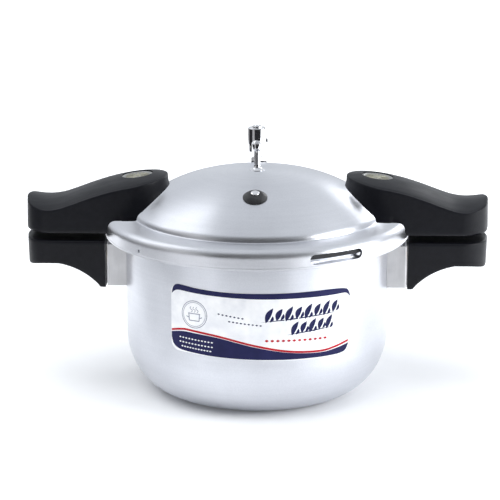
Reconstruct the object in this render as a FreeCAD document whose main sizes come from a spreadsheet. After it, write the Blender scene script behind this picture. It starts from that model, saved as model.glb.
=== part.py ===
import FreeCAD, Part
import math
import os
import re
import Sketcher

# Household pressure cooker: pot, bayonet lid, gasket, vent with weight, safety fittings and handles.
# Frame: millimetres, origin at the centre of the pot's foot, +Z up, handles along X, label on the -Y side.
# Outlines of turned pieces are pairs (distance from the axis, height along the axis).

DOC = FreeCAD.newDocument("pressure_cooker")
V = FreeCAD.Vector

# ---------------------------------------------------------------- driving dimensions
SIZES = {
    # pot
    "pot_radius": 110, "pot_wall": 3, "pot_base": 4, "corner_width": 39.8, "corner_rise": 49.4,
    "rim_top": 141, "rim_radius": 113, "rim_low": 136.3, "rim_edge": 140,
    # bayonet
    "lug_count": 6, "lug_angle": 26, "lug_place": -60, "pot_lug_radius": 120,
    "lid_lug_radius": 115.2, "lid_lug_top": 135.9,
    # lid
    "lid_radius": 126.6, "lid_gauge": 2.8, "skirt_low": 132.4, "ring_top": 148.6, "shoulder": 3.5,
    "dome_radius": 103.2, "dome_foot": 152, "dome_rise": 32.6, "dome_power": 2.85, "dome_gauge": 3,
    "window_angle": 31.6, "window_width": 48, "window_low": 135.2, "window_top": 143.5,
    "dot_angle": -46.7, "dot_height": 137.2, "dot_radius": 1.2,
    # gasket
    "gasket_bore": 107.2, "gasket_radius": 123.4, "gasket_low": 141.1, "gasket_top": 145.6,
    "gasket_lip": 1.5, "gasket_spine": 3, "gasket_apron": 138.8,
    # upper handles
    "grip_half": 32, "grip_tip": 190.8, "grip_corner": 22, "nose_centre": 106.6, "upper_low": 137.3,
    "crown": 5.5, "edge_round": 1.0, "foot_round": 2.2, "lower_round": 1.8, "lid_gap": 0.1,
    "tip_bow": 45, "grip_draft": 1.2, "draft_height": 188,
    # lower handles
    "lower_top": 131, "lower_under": 111.3, "bracket_reach": 125, "foot_low": 91.2, "foot_thick": 4.7,
    "arch_start": 164, "arch_end": 130, "arch_end_height": 92.4, "arch_radius": 58,
    "droop_start": 170, "droop_reach": 30, "droop_radius": 54.3,
    # brackets and their fasteners
    "bracket_half": 18, "bracket_gauge": 1.5, "bracket_low": 89, "bracket_top": 124.5,
    "bracket_bend": 1.8, "flange_gap": 5,
    "rivet_height": 108, "rivet_angle": 5.6, "rivet_radius": 2.2, "rivet_head": 4.2,
    "bolt_height": 115, "bolt_spread": 9, "bolt_radius": 2.5, "bolt_head": 4.4, "insert_radius": 4.4,
    # screws of the upper handles, and their badges
    "stud_place": 100, "stud_radius": 5.5, "stud_top": 165, "lid_screw_low": 159,
    "lid_screw_head": 174, "lid_screw_reach": 5,
    "badge_radius": 13, "badge_height": 180, "badge_tilt": 6,
    # steam vent and weight
    "vent_hole": 4.2, "stem_radius": 2.7, "stem_head": 4.2, "stem_orifice": 1.2,
    "weight_low": 201, "weight_top": 221, "weight_radius": 7.65, "weight_bore": 5.1,
    "weight_roof": 212.6, "weight_window": 4.2, "weight_window_angle": -3, "pin_height": 210,
    # safety plug and fusible fitting: place along Y and lean of their axes
    "plug_place": -63.5, "plug_lean": 20.1, "plug_hole": 6.1,
    "fuse_place": 55, "fuse_lean": 15.7, "fuse_flats": 12.9, "fuse_radius": 4, "fuse_bore": 1.65,
    # front label
    "label_left": -37.1, "label_right": 43.9, "label_low": 54.4, "label_high": 109.4, "label_slope": 1.7,
    "label_gauge": 0.25, "slack": 0.05,
}


def make_sheet():
    sheet = DOC.addObject("Spreadsheet::Sheet", "Sizes")
    for row, (alias, value) in enumerate(SIZES.items(), start=1):
        sheet.set(f"A{row}", alias)
        sheet.set(f"B{row}", str(value))
        sheet.setAlias(f"B{row}", alias)
    DOC.recompute()
    return sheet


SHEET = make_sheet()
ALIAS = re.compile(r"\b(" + "|".join(SIZES) + r")\b")


def bound(text):
    """The expression as another object has to write it."""
    return ALIAS.sub(r"Sizes.\1", str(text))


def number(text):
    """The expression's value."""
    value = SHEET.evalExpression(str(text))
    return float(getattr(value, "Value", value))


def dome_height(radius):
    """Height of the lid's domed outside at a distance from the axis."""
    share = (radius / number("dome_radius")) ** number("dome_power")
    return number("dome_foot") + number("dome_rise") * (1 - share)


# ---------------------------------------------------------------- bodies, sketches and features
def new_body(name):
    body = DOC.addObject("PartDesign::Body", name)
    body.Label = name
    body.AllowCompound = True
    return body


def origin_of(body, role):
    return next(item for item in body.Origin.OriginFeatures if item.Role == role)


def new_sketch(body, role="XZ_Plane", place=("0", "0", "0"), axis=(0, 0, 1), turn="0"):
    """Sketch on a plane of the body's origin, moved and turned within that plane's own axes."""
    sketch = body.newObject("Sketcher::SketchObject", body.Name + "_sketch")
    sketch.AttachmentSupport = [(origin_of(body, role), "")]
    sketch.MapMode = "FlatFace"
    start = V(*[number(text) for text in place])
    sketch.AttachmentOffset = FreeCAD.Placement(start, FreeCAD.Rotation(V(*axis), number(turn)))
    for letter, text in zip("xyz", place):
        if text != "0":
            sketch.setExpression(f"AttachmentOffset.Base.{letter}", bound(text))
    return sketch


def arc_between(first, last, radius, bend):
    """Arc from first to last; bend +1 runs counter-clockwise and -1 clockwise."""
    half = (last - first) * 0.5
    away = math.sqrt(max(radius ** 2 - half.Length ** 2, 0))
    centre = first + half + V(-half.y, half.x, 0).normalize() * away * bend
    start, end = (first, last) if bend > 0 else (last, first)
    angles = [math.atan2(spot.y - centre.y, spot.x - centre.x) for spot in (start, end)]
    return Part.ArcOfCircle(Part.Circle(centre, V(0, 0, 1), radius), angles[0], angles[1])


def quarter_ellipse(corner_height):
    """Lower right quarter of an ellipse for the pot's corner; the height is that of its lowest point."""
    centre = V(number("pot_radius - corner_width"), number("corner_rise"), 0)
    inset = 0 if corner_height == 0 else number("pot_wall")
    top = centre + V(0, centre.y - corner_height, 0)
    left = centre - V(number("corner_width") - inset, 0, 0)
    return Part.ArcOfEllipse(Part.Ellipse(top, left, centre), math.pi, 1.5 * math.pi)


def dome_curve(radii, drop):
    """Curve of the lid's dome through the given radii, lowered by the metal's gauge where asked."""
    curve = Part.BSplineCurve()
    curve.interpolate([V(radius, dome_height(radius) - drop, 0) for radius in radii])
    return curve


def outline(sketch, points, arcs=None, curves=None):
    """Closed outline. A side is straight unless arcs gives (radius, bend) or curves (curve, forward)."""
    arcs = arcs or {}
    curves = curves or {}
    spots = [V(number(x), number(y), 0) for x, y in points]
    sides = []
    for side, first in enumerate(spots):
        last = spots[(side + 1) % len(spots)]
        forward = True
        if side in arcs:
            radius, bend = arcs[side]
            index = sketch.addGeometry(arc_between(first, last, number(radius), bend), False)
            set_radius(sketch, index, radius)
            forward = bend > 0
        elif side in curves:
            curve, forward = curves[side]
            index = sketch.addGeometry(curve, False)
        else:
            index = sketch.addGeometry(Part.LineSegment(first, last), False)
        sides.append((index, 1 if forward else 2, 2 if forward else 1))
    for side, (index, start, end) in enumerate(sides):
        following = sides[(side + 1) % len(sides)]
        add(sketch, "Coincident", index, end, following[0], following[1])
        for kind, text, value in zip(("DistanceX", "DistanceY"), points[side], spots[side]):
            rule = add(sketch, kind, -1, 1, index, start, value)
            sketch.setExpression(f"Constraints[{rule}]", bound(text))


def add(sketch, *terms):
    return sketch.addConstraint(Sketcher.Constraint(*terms))


def set_radius(sketch, index, radius):
    rule = add(sketch, "Radius", index, number(radius))
    sketch.setExpression(f"Constraints[{rule}]", bound(radius))


def circle(sketch, radius, x="0", y="0"):
    centre = V(number(x), number(y), 0)
    index = sketch.addGeometry(Part.Circle(centre, V(0, 0, 1), number(radius)), False)
    for kind, text in (("DistanceX", x), ("DistanceY", y)):
        rule = add(sketch, kind, -1, 1, index, 3, number(text))
        sketch.setExpression(f"Constraints[{rule}]", bound(text))
    set_radius(sketch, index, radius)


def turned(body, sketch, axis="V_Axis", cut=False):
    kind = "PartDesign::Groove" if cut else "PartDesign::Revolution"
    feature = body.newObject(kind, body.Name + "_turned")
    feature.Profile = sketch
    feature.ReferenceAxis = (sketch, [axis])
    feature.Angle = 360
    return feature


def raised(body, sketch, length, both=False, reverse=False, taper="0"):
    feature = body.newObject("PartDesign::Pad", body.Name + "_pad")
    feature.Profile = sketch
    feature.setExpression("Length", bound(length))
    feature.SideType = "Symmetric" if both else "One side"
    feature.Reversed = reverse
    feature.TaperAngle = number(taper)
    return feature


def cut_out(body, sketch, length, both=False, reverse=False):
    """Pocket that must remove something: its direction is turned round if it removed nothing."""
    DOC.recompute()
    before = body.Shape.Volume
    feature = body.newObject("PartDesign::Pocket", body.Name + "_pocket")
    feature.Profile = sketch
    feature.setExpression("Length", bound(length))
    feature.SideType = "Symmetric" if both else "One side"
    feature.Reversed = reverse
    DOC.recompute()
    if body.Shape.Volume > before - 0.01:
        raise SystemExit(f"{body.Label}: {feature.Name} removes nothing")
    return feature


def repeated(body, features, count):
    pattern = body.newObject("PartDesign::PolarPattern", body.Name + "_pattern")
    pattern.Originals = features
    pattern.Axis = (origin_of(body, "Z_Axis"), [""])
    pattern.Angle = 360
    pattern.setExpression("Occurrences", bound(count))
    body.Tip = pattern
    return pattern


def rounded(body, radius, wanted):
    """Fillet on the tip's edges that the test picks."""
    DOC.recompute()
    tip = body.Tip
    names = [f"Edge{i}" for i, edge in enumerate(tip.Shape.Edges, start=1) if wanted(edge)]
    if not names:
        raise SystemExit(f"{body.Label}: no edge to round")
    feature = body.newObject("PartDesign::Fillet", body.Name + "_fillet")
    feature.Base = (tip, names)
    feature.setExpression("Radius", bound(radius))
    return feature


def sector(sketch, inner, outer, place, width):
    """Piece of a ring about the origin, between two radii, centred on a direction."""
    def spot(radius, turn):
        angle = f"({place} + {turn} * {width} / 2) * 1 deg"
        return (f"({radius}) * cos({angle})", f"({radius}) * sin({angle})")
    points = [spot(inner, -1), spot(outer, -1), spot(outer, 1), spot(inner, 1)]
    outline(sketch, points, {1: (outer, 1), 3: (inner, -1)})


def cap_radius(reach, rise):
    """Radius of a round cap that meets its axis squarely."""
    return f"(({reach}) ^ 2 + ({rise}) ^ 2) / (2 * ({rise}))"


def hexagon(sketch, flats):
    corner = f"({flats}) / sqrt(3)"
    turns = [f"{60 * step + 30} * 1 deg" for step in range(6)]
    outline(sketch, [(f"{corner} * cos({turn})", f"{corner} * sin({turn})") for turn in turns])


def rectangle(x_low, x_high, y_low, y_high):
    return [(x_low, y_low), (x_high, y_low), (x_high, y_high), (x_low, y_high)]


# ---------------------------------------------------------------- pot
def radial_sketch(body, height, turn):
    """Sketch whose first axis runs out from the pot's axis at a height and direction."""
    return new_sketch(body, "XY_Plane", ("0", "0", height), (0, 0, 1), turn)


RIVET_TURNS = ["rivet_angle", "-rivet_angle", "180 - rivet_angle", "180 + rivet_angle"]


def pot_body():
    body = new_body("pot_body")
    flat = "pot_radius - corner_width"
    bore = "pot_radius - pot_wall"
    points = [("0", "0"), (flat, "0"), ("pot_radius", "corner_rise"), ("pot_radius", "rim_low"),
              ("rim_radius", "rim_low"), ("rim_radius", "rim_edge"), ("rim_radius - 1", "rim_top"),
              (bore, "rim_top"), (bore, "corner_rise"), (flat, "pot_base"), ("0", "pot_base")]
    sketch = new_sketch(body)
    outline(sketch, points, curves={1: (quarter_ellipse(0), True),
                                    8: (quarter_ellipse(number("pot_base")), False)})
    turned(body, sketch)
    lug = new_sketch(body, "XY_Plane", ("0", "0", "rim_low"))
    sector(lug, "rim_radius - 0.5", "pot_lug_radius", "lug_place", "lug_angle")
    repeated(body, [raised(body, lug, "rim_edge - rim_low")], "lug_count")
    for turn in RIVET_TURNS:
        hole = radial_sketch(body, "rivet_height", turn)
        outline(hole, rectangle("pot_radius - 8", "pot_radius + 5", "0", "rivet_radius + slack"))
        turned(body, hole, "H_Axis", cut=True)
    return body


def bracket(name, turn):
    body = new_body(name)
    reach, half, gauge = "bracket_reach", "bracket_half", "bracket_gauge"
    block = new_sketch(body, "XY_Plane", ("0", "0", "bracket_low"))
    corner = "bracket_bend"
    outline(block, [("100", f"-{half}"), (f"{reach} - {corner}", f"-{half}"), (reach, f"{corner} - {half}"),
                    (reach, f"{half} - {corner}"), (f"{reach} - {corner}", half), ("100", half)],
            {1: (corner, 1), 3: (corner, 1)})
    raised(body, block, "bracket_top - bracket_low")
    seat = new_sketch(body)
    outline(seat, rectangle("0", "pot_radius + slack", "0", "rim_top"))
    turned(body, seat, cut=True)
    inner = f"pot_radius + {gauge}"
    wide = f"{half} - {gauge}"
    depth = f"sqrt(({inner}) ^ 2 - ({wide}) ^ 2)"
    hollow = new_sketch(body, "XY_Plane", ("0", "0", "bracket_low"))
    outline(hollow, [(depth, f"-({wide})"), (f"{reach} - {gauge}", f"-({wide})"),
                     (f"{reach} - {gauge}", wide), (depth, wide)], {3: (inner, -1)})
    cut_out(body, hollow, "50", reverse=True)
    gap = new_sketch(body, "XY_Plane", ("0", "0", "bracket_low"))
    outline(gap, rectangle("105", "118", "-flange_gap", "flange_gap"))
    cut_out(body, gap, "50", reverse=True)
    for sign in ("", "-"):
        hole = radial_sketch(body, "rivet_height", f"{sign}rivet_angle")
        outline(hole, rectangle("pot_radius - 5", "pot_radius + 5", "0", "rivet_radius + slack"))
        turned(body, hole, "H_Axis", cut=True)
        bolt = new_sketch(body, "XY_Plane", ("0", f"{sign}bolt_spread", "bolt_height"))
        outline(bolt, rectangle("118", "130", "0", "bolt_radius + slack"))
        turned(body, bolt, "H_Axis", cut=True)
    body.Placement.Rotation = FreeCAD.Rotation(V(0, 0, 1), turn)
    return body


def bracket_rivets():
    """Round-headed rivets: one head inside the pot, one inside the bracket."""
    body = new_body("bracket_rivets")
    inside, outside = "pot_radius - pot_wall - 0.12", "pot_radius + bracket_gauge + 0.05"
    points = [(f"{inside} - 1.8", "0"), (f"{inside} - 0.3", "rivet_head"), (inside, "rivet_head"),
              (inside, "rivet_radius"), (outside, "rivet_radius"), (outside, "rivet_head"),
              (f"{outside} + 0.3", "rivet_head"), (f"{outside} + 1.8", "0")]
    head = cap_radius("rivet_head", "1.5")
    for turn in RIVET_TURNS:
        sketch = radial_sketch(body, "rivet_height", turn)
        outline(sketch, points, {0: (head, -1), 6: (head, -1)})
        turned(body, sketch, "H_Axis")
    return body


# ---------------------------------------------------------------- handles
def grip_outline(inner, round_nose):
    """Plan of a handle: straight sides, a rounded outer end and a round or flat inner end."""
    half, corner, tip, bow = "grip_half", "grip_corner", "grip_tip", "tip_bow"
    shoulder = f"{tip} - 0.4"
    flat = f"{half} - {corner}"
    outer = [(f"{shoulder} - {corner}", f"-{half}"), (shoulder, f"-({flat})"),
             (shoulder, flat), (f"{shoulder} - {corner}", half)]
    if round_nose:
        points = outer + [(inner, half), (f"{inner} - {half}", "0"), (inner, f"-{half}")]
        return points, {0: (corner, 1), 1: (bow, 1), 2: (corner, 1), 4: (half, 1), 5: (half, 1)}
    return outer + [(inner, half), (inner, f"-{half}")], {0: (corner, 1), 1: (bow, 1), 2: (corner, 1)}


CREST = [(62, 179.5), (74, 181.4), (88, 182.6), (104, 181.2), (121, 177.6), (137, 172.6),
         (153, 166.7), (164, 163.2), (174, 161.9), (184, 162.4), (198, 164.6)]


def crest_path(body):
    """Middle line of an upper handle's top, from above the lid's dome to past the tip."""
    path = new_sketch(body)
    curve = Part.BSplineCurve()
    curve.interpolate([V(x, z, 0) for x, z in CREST])
    path.addGeometry(curve, False)
    return path


def lid_top_points(gap):
    """Outside of the lid from the skirt's middle up to the apex, with a gap added."""
    ring = f"ring_top + {gap}"
    side = f"lid_radius + {gap}"
    return [(side, "upper_low - 5"), (side, f"ring_top - shoulder + {gap}"),
            (f"{side} - shoulder", ring), (f"dome_radius + 4.6 + {gap}", ring),
            (f"dome_radius + 1.6 + {gap}", f"ring_top + 2.2 + {gap}"),
            ("dome_radius", f"dome_foot + {gap}"),
            ("0", f"dome_foot + dome_rise + {gap}")]


DOME_RADII = [SIZES["dome_radius"], 96, 86, 74, 60, 44, 28, 14, 0]
DOME_INSIDE = [0, 14, 28, 44, 60, 74, 86, 94, 99.5]


def lid_top_arcs(first):
    return {first + 1: ("shoulder", 1), first + 3: ("3.4", -1), first + 4: ("2.6", 1)}


def lid_seat(body, gap="lid_gap"):
    """Cut the lid's own outside, with a small gap, out of a piece that stands on it."""
    sketch = new_sketch(body)
    points = lid_top_points(gap) + [("0", "upper_low - 5")]
    curve = dome_curve(DOME_RADII, -number(gap))
    outline(sketch, points, lid_top_arcs(0), {5: (curve, True)})
    turned(body, sketch, cut=True)


def leaning_sketch(body, place, height, lean):
    """Sketch in the XZ plane whose second axis leans outwards from vertical."""
    return new_sketch(body, "XZ_Plane", (place, height, "0"), (0, 0, 1), f"-{lean}")


def lid_handle(name, turn):
    body = new_body(name)
    points, arcs = grip_outline("nose_centre", True)
    plan = new_sketch(body, "XY_Plane", ("0", "0", "draft_height"))
    outline(plan, points, arcs)
    raised(body, plan, "draft_height - upper_low", reverse=True, taper="grip_draft")
    section = new_sketch(body, "YZ_Plane", ("0", "0", str(CREST[0][0])))
    half, high = "(grip_half + 6)", str(CREST[0][1])
    sag = f"(crown * ({half} / grip_half) ^ 2)"
    bow = f"({half} ^ 2 + {sag} ^ 2) / (2 * {sag})"
    outline(section, [(half, f"{high} - {sag}"), (half, f"{high} + 30"), (f"-{half}", f"{high} + 30"),
                      (f"-{half}", f"{high} - {sag}")], {3: (bow, -1)})
    path = crest_path(body)
    sweep = body.newObject("PartDesign::SubtractivePipe", name + "_crest")
    sweep.Profile = section
    sweep.Spine = path
    sweep.Mode = "Fixed"
    low = number("upper_low")
    rounded(body, "edge_round", lambda edge: edge.BoundBox.ZMin > low + 10)
    DOC.recompute()
    rounded(body, "foot_round", lambda edge: edge.BoundBox.ZMax < low + 0.01)
    lid_seat(body)
    hollow = new_sketch(body, "XY_Plane", ("0", "0", "upper_low"))
    outline(hollow, rectangle("133", "178", "-20", "20"))
    cut_out(body, hollow, "10", reverse=True)
    bore = new_sketch(body, "XZ_Plane", ("stud_place", "0", "0"))
    outline(bore, [("0", "stud_top - 15"), ("stud_radius + 0.2", "stud_top - 15"),
                   ("stud_radius + 0.2", "stud_top + 0.2"), ("bolt_radius + 0.3", "stud_top + 0.2"),
                   ("bolt_radius + 0.3", "lid_screw_head"), ("lid_screw_reach + 1", "lid_screw_head"),
                   ("lid_screw_reach + 1", "badge_height + 5"), ("0", "badge_height + 5")])
    turned(body, bore, cut=True)
    recess = leaning_sketch(body, "stud_place", "badge_height", "badge_tilt")
    outline(recess, rectangle("0", "badge_radius + 0.2", "-1.5", "6"))
    turned(body, recess, cut=True)
    body.Placement.Rotation = FreeCAD.Rotation(V(0, 0, 1), turn)
    return body


def badge(name, turn):
    body = new_body(name)
    disc = leaning_sketch(body, "stud_place", "badge_height", "badge_tilt")
    points = [("0", "-1.45"), ("badge_radius", "-1.45"), ("badge_radius", "-0.5"),
              ("badge_radius - 0.6", "0"), ("badge_radius - 1.8", "0"), ("badge_radius - 2.2", "-0.35"),
              ("0", "-0.1")]
    outline(disc, points)
    turned(body, disc)
    body.Placement.Rotation = FreeCAD.Rotation(V(0, 0, 1), turn)
    return body


def pot_handle(name, turn):
    body = new_body(name)
    inner = "bracket_reach"
    points, arcs = grip_outline(inner, False)
    plan = new_sketch(body, "XY_Plane", ("0", "0", "foot_low"))
    outline(plan, points, arcs)
    raised(body, plan, "lower_top - foot_low", taper="grip_draft")
    under = new_sketch(body)
    droop_low = "lower_under - droop_radius + sqrt(droop_radius ^ 2 - droop_reach ^ 2)"
    outline(under, [(f"{inner} - 5", "foot_low - 5"), ("droop_start + droop_reach", "foot_low - 5"),
                    ("droop_start + droop_reach", droop_low), ("droop_start", "lower_under"),
                    ("arch_start", "lower_under"), ("arch_end", "arch_end_height"),
                    (f"{inner} + foot_thick", "foot_low"), (inner, "foot_low"), (inner, "lower_top + 5"),
                    (f"{inner} - 5", "lower_top + 5")], {2: ("droop_radius", 1), 4: ("arch_radius", 1)})
    cut_out(body, under, "80", both=True)

    def outer_edge(edge):
        box = edge.BoundBox
        upright = box.ZLength > 15 and box.XLength < 2
        return box.YLength < 40 and not upright
    rounded(body, "lower_round", outer_edge)
    for sign in ("", "-"):
        socket = new_sketch(body, "XY_Plane", ("0", f"{sign}bolt_spread", "bolt_height"))
        outline(socket, rectangle("bracket_reach - 2", "bracket_reach + 15", "0", "insert_radius + slack"))
        turned(body, socket, "H_Axis", cut=True)
    body.Placement.Rotation = FreeCAD.Rotation(V(0, 0, 1), turn)
    return body


def bolt_sketches(body):
    """One sketch along each of the four bolts, which pair up across the pot."""
    for sign in ("", "-"):
        for turn in (0, 180):
            side = sign if turn == 0 else ("-" if sign == "" else "")
            place = ("0", f"{side}bolt_spread", "bolt_height")
            yield new_sketch(body, "XY_Plane", place, (0, 0, 1), str(turn))


def pot_handle_screws():
    body = new_body("pot_handle_screws")
    seat = "bracket_reach - bracket_gauge"
    points = [(f"{seat} - 2.6", "0"), (f"{seat} - 2.6", "bolt_head - 1"), (f"{seat} - 1.6", "bolt_head"),
              (seat, "bolt_head"), (seat, "bolt_radius"), ("bracket_reach + 12", "bolt_radius"),
              ("bracket_reach + 13", "bolt_radius - 0.8"), ("bracket_reach + 13", "0")]
    for sketch in bolt_sketches(body):
        outline(sketch, points, {1: ("1.2", -1)})
        turned(body, sketch, "H_Axis")
    return body


def pot_handle_inserts():
    body = new_body("pot_handle_inserts")
    for sketch in bolt_sketches(body):
        outline(sketch, rectangle("bracket_reach", "bracket_reach + 14.5", "bolt_radius + slack",
                                  "insert_radius"))
        turned(body, sketch, "H_Axis")
    return body


# ---------------------------------------------------------------- lid
def fitting_sketch(body, place, lean):
    """Sketch with its second axis square to the dome, at a place along Y."""
    height = f"{dome_height(abs(number(place))):.3f}"
    return new_sketch(body, "YZ_Plane", (place, height, "0"), (0, 0, 1), lean)


def plug_sketch(body):
    return fitting_sketch(body, "plug_place", "plug_lean")


def fuse_sketch(body):
    return fitting_sketch(body, "fuse_place", "-fuse_lean")


def fuse_plan(body):
    """Sketch square to the fusible fitting's axis, where it meets the dome."""
    height = f"{dome_height(number('fuse_place')):.3f}"
    return new_sketch(body, "XY_Plane", ("0", "fuse_place", height), (1, 0, 0), "-fuse_lean")


def lid_shell():
    body = new_body("lid_shell")
    under = "ring_top - lid_gauge"
    skirt_bore = "lid_radius - lid_gauge"
    outer = lid_top_points("0")
    outer[0] = ("lid_radius", "skirt_low + 1.2")
    edge = DOME_INSIDE[-1]
    points = outer + [("0", "dome_foot + dome_rise - dome_gauge"),
                      (str(edge), f"{dome_height(edge)} - dome_gauge"),
                      ("dome_radius - 0.8", f"{under} + 1.6"), ("dome_radius + 1.6", under),
                      (skirt_bore, under), (skirt_bore, "skirt_low"), ("lid_radius - 1", "skirt_low")]
    inside = dome_curve(DOME_INSIDE, number("dome_gauge"))
    sketch = new_sketch(body)
    outline(sketch, points, lid_top_arcs(0), {5: (dome_curve(DOME_RADII, 0), True), 7: (inside, True)})
    turned(body, sketch)
    lug = new_sketch(body, "XY_Plane", ("0", "0", "skirt_low"))
    sector(lug, "lid_lug_radius", "lid_radius - lid_gauge + 0.5", "lug_place", "lug_angle")
    repeated(body, [raised(body, lug, "lid_lug_top - skirt_low")], "lug_count")
    vent = new_sketch(body)
    outline(vent, rectangle("0", "vent_hole", "170", "200"))
    turned(body, vent, cut=True)
    for sketch, radius in ((plug_sketch(body), "plug_hole"), (fuse_sketch(body), "vent_hole")):
        outline(sketch, rectangle("0", radius, "-12", "8"))
        turned(body, sketch, cut=True)
    skirt_window(body)
    return body


def skirt_window(body):
    """Round-ended window through the skirt, over a pot lug, and the small hole left of the front."""
    half, low, top = "window_width / 2", "window_low", "window_top"
    end = f"({top} - {low}) / 2"
    window = new_sketch(body, "XZ_Plane", axis=(0, 1, 0), turn="window_angle")
    points = [(f"-({half}) + {end}", low), (f"{half} - {end}", low), (half, f"{low} + {end}"),
              (f"{half} - {end}", top), (f"-({half}) + {end}", top), (f"-({half})", f"{low} + {end}")]
    outline(window, points, {1: (end, 1), 2: (end, 1), 4: (end, 1), 5: (end, 1)})
    cut_out(body, window, "140", reverse=True)
    hole = new_sketch(body, "XZ_Plane", axis=(0, 1, 0), turn="dot_angle")
    circle(hole, "dot_radius", "0", "dot_height")
    cut_out(body, hole, "140", reverse=True)


def gasket():
    """Ring with a C section, whose two lips are pressed apart by the steam, and a short apron outside."""
    body = new_body("gasket")
    spine = "gasket_radius - gasket_spine"
    low, top, lip = "gasket_low", "gasket_top", "gasket_lip"
    points = [("gasket_bore", low), (spine, low), ("gasket_radius - 2.6", f"{low} - 0.5"),
              ("gasket_radius - 2.6", "gasket_apron"), ("gasket_radius", "gasket_apron"),
              ("gasket_radius", top), ("gasket_bore", top),
              ("gasket_bore", f"{top} - {lip} + 0.3"), (spine, f"{top} - {lip}"), (spine, f"{low} + {lip}"),
              ("gasket_bore", f"{low} + {lip} - 0.3")]
    sketch = new_sketch(body)
    outline(sketch, points)
    turned(body, sketch)
    return body


def lid_handle_studs():
    body = new_body("lid_handle_studs")
    for side in ("", "-"):
        sketch = new_sketch(body, "XZ_Plane", (f"{side}stud_place", "0", "0"))
        outline(sketch, rectangle("bolt_radius + slack", "stud_radius", "150", "stud_top"))
        turned(body, sketch)
    lid_seat(body, "0.02")
    return body


def lid_handle_screws():
    body = new_body("lid_handle_screws")
    head = "lid_screw_head"
    for side in ("", "-"):
        sketch = new_sketch(body, "XZ_Plane", (f"{side}stud_place", "0", "0"))
        outline(sketch, [("0", "lid_screw_low"), ("bolt_radius - 0.7", "lid_screw_low"),
                         ("bolt_radius", "lid_screw_low + 0.7"), ("bolt_radius", head),
                         ("lid_screw_reach", head), ("lid_screw_reach", f"{head} + 1.6"),
                         ("lid_screw_reach - 1", f"{head} + 2.6"), ("0", f"{head} + 2.6")],
                {5: ("1.2", 1)})
        turned(body, sketch)
    slots = new_sketch(body, "XY_Plane", ("0", "0", f"{head} + 1.4"))
    for side in ("", "-"):
        outline(slots, rectangle(f"{side}stud_place - 6", f"{side}stud_place + 6", "-0.5", "0.5"))
    cut_out(body, slots, "3", reverse=True)
    return body


# ---------------------------------------------------------------- vent, weight and safety fittings
def vent_stem():
    body = new_body("vent_stem")
    apex = "dome_foot + dome_rise + 0.05"
    inner = "dome_foot + dome_rise - 11"
    points = [("stem_orifice", inner), ("3.3", inner), ("4", f"{inner} + 0.8"), ("4", apex),
              ("6.3", apex), ("6.3", f"{apex} + 0.9"), ("stem_radius", f"{apex} + 5"),
              ("stem_radius", "weight_low + 0.4"), ("stem_head", "weight_low + 2"),
              ("stem_head", "weight_low + 6.2"), ("1.9", "weight_low + 9.6"),
              ("stem_orifice", "weight_low + 8.4")]
    sketch = new_sketch(body)
    outline(sketch, points, {5: ("6.5", -1), 9: ("4.2", 1)})
    turned(body, sketch)
    return body


def weight_body():
    body = new_body("weight_body")
    low, top, radius = "weight_low", "weight_top", "weight_radius"
    points = [("weight_bore", low), (f"{radius} - 0.5", low), (radius, f"{low} + 0.5"),
              (radius, f"{top} - 0.8"), (f"{radius} - 0.8", top), ("1.7", top), ("1.7", f"{top} - 3"),
              ("0", f"{top} - 3"), ("0", f"{top} - 4"), ("2.2", f"{top} - 4"), ("2.2", "weight_roof"),
              ("weight_bore", "weight_roof")]
    sketch = new_sketch(body)
    outline(sketch, points, {3: ("0.8", 1)})
    turned(body, sketch)
    window = new_sketch(body, "XZ_Plane", axis=(0, 1, 0), turn="weight_window_angle")
    half = "weight_window"
    outline(window, [(f"-{half}", f"{low} - 2"), (half, f"{low} - 2"), (half, f"{low} + 6.4"),
                     ("0", f"{low} + 6.4 + {half}"), (f"-{half}", f"{low} + 6.4")],
            {2: (half, 1), 3: (half, 1)})
    cut_out(body, window, "10", reverse=True)
    cross = new_sketch(body, "XY_Plane", ("0", "0", "pin_height"))
    outline(cross, rectangle("4", "12", "0", "1"))
    turned(body, cross, "H_Axis", cut=True)
    return body


def weight_pin():
    body = new_body("weight_pin")
    sketch = new_sketch(body, "XY_Plane", ("0", "0", "pin_height"))
    seat = "weight_radius + 0.02"
    outline(sketch, [("weight_bore - 0.3", "0"), ("weight_bore - 0.3", "0.96"), (seat, "0.96"),
                     (seat, "1.7"), (f"{seat} + 0.8", "1.7"), (f"{seat} + 1.3", "1.1"),
                     (f"{seat} + 1.3", "0")])
    turned(body, sketch, "H_Axis")
    return body


def weight_cap():
    body = new_body("weight_cap")
    top = "weight_top"
    sketch = new_sketch(body)
    outline(sketch, [("0", f"{top} - 2.9"), ("1.65", f"{top} - 2.9"), ("1.65", top), ("4", top),
                     ("4", f"{top} + 1"), ("3.5", f"{top} + 1.5"), ("0", f"{top} + 1.5")], {4: ("0.55", 1)})
    turned(body, sketch)
    return body


def weight_needle():
    """Needle that stands in the weight's roof and closes the vent."""
    body = new_body("weight_needle")
    sketch = new_sketch(body)
    tip = "weight_low + 8.7"
    outline(sketch, [("0", tip), ("0.5", tip), ("1.9", "weight_roof - 0.6"), ("1.9", "weight_top - 4.3"),
                     ("0", "weight_top - 4.3")])
    turned(body, sketch)
    return body


def safety_plug():
    """Rubber plug pushed through the lid: a cone outside, a neck and a holding lip inside."""
    body = new_body("safety_plug")
    sketch = plug_sketch(body)
    outline(sketch, [("1.7", "-6"), ("6.8", "-6"), ("7.6", "-5"), ("7.6", "-3.2"),
                     ("plug_hole - 0.1", "-3.2"), ("plug_hole - 0.1", "0.02"), ("9.95", "0.02"),
                     ("9.95", "0.35"), ("4.2", "3.8"), ("1.7", "3.8")], {7: ("24", 1)})
    turned(body, sketch)
    return body


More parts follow.
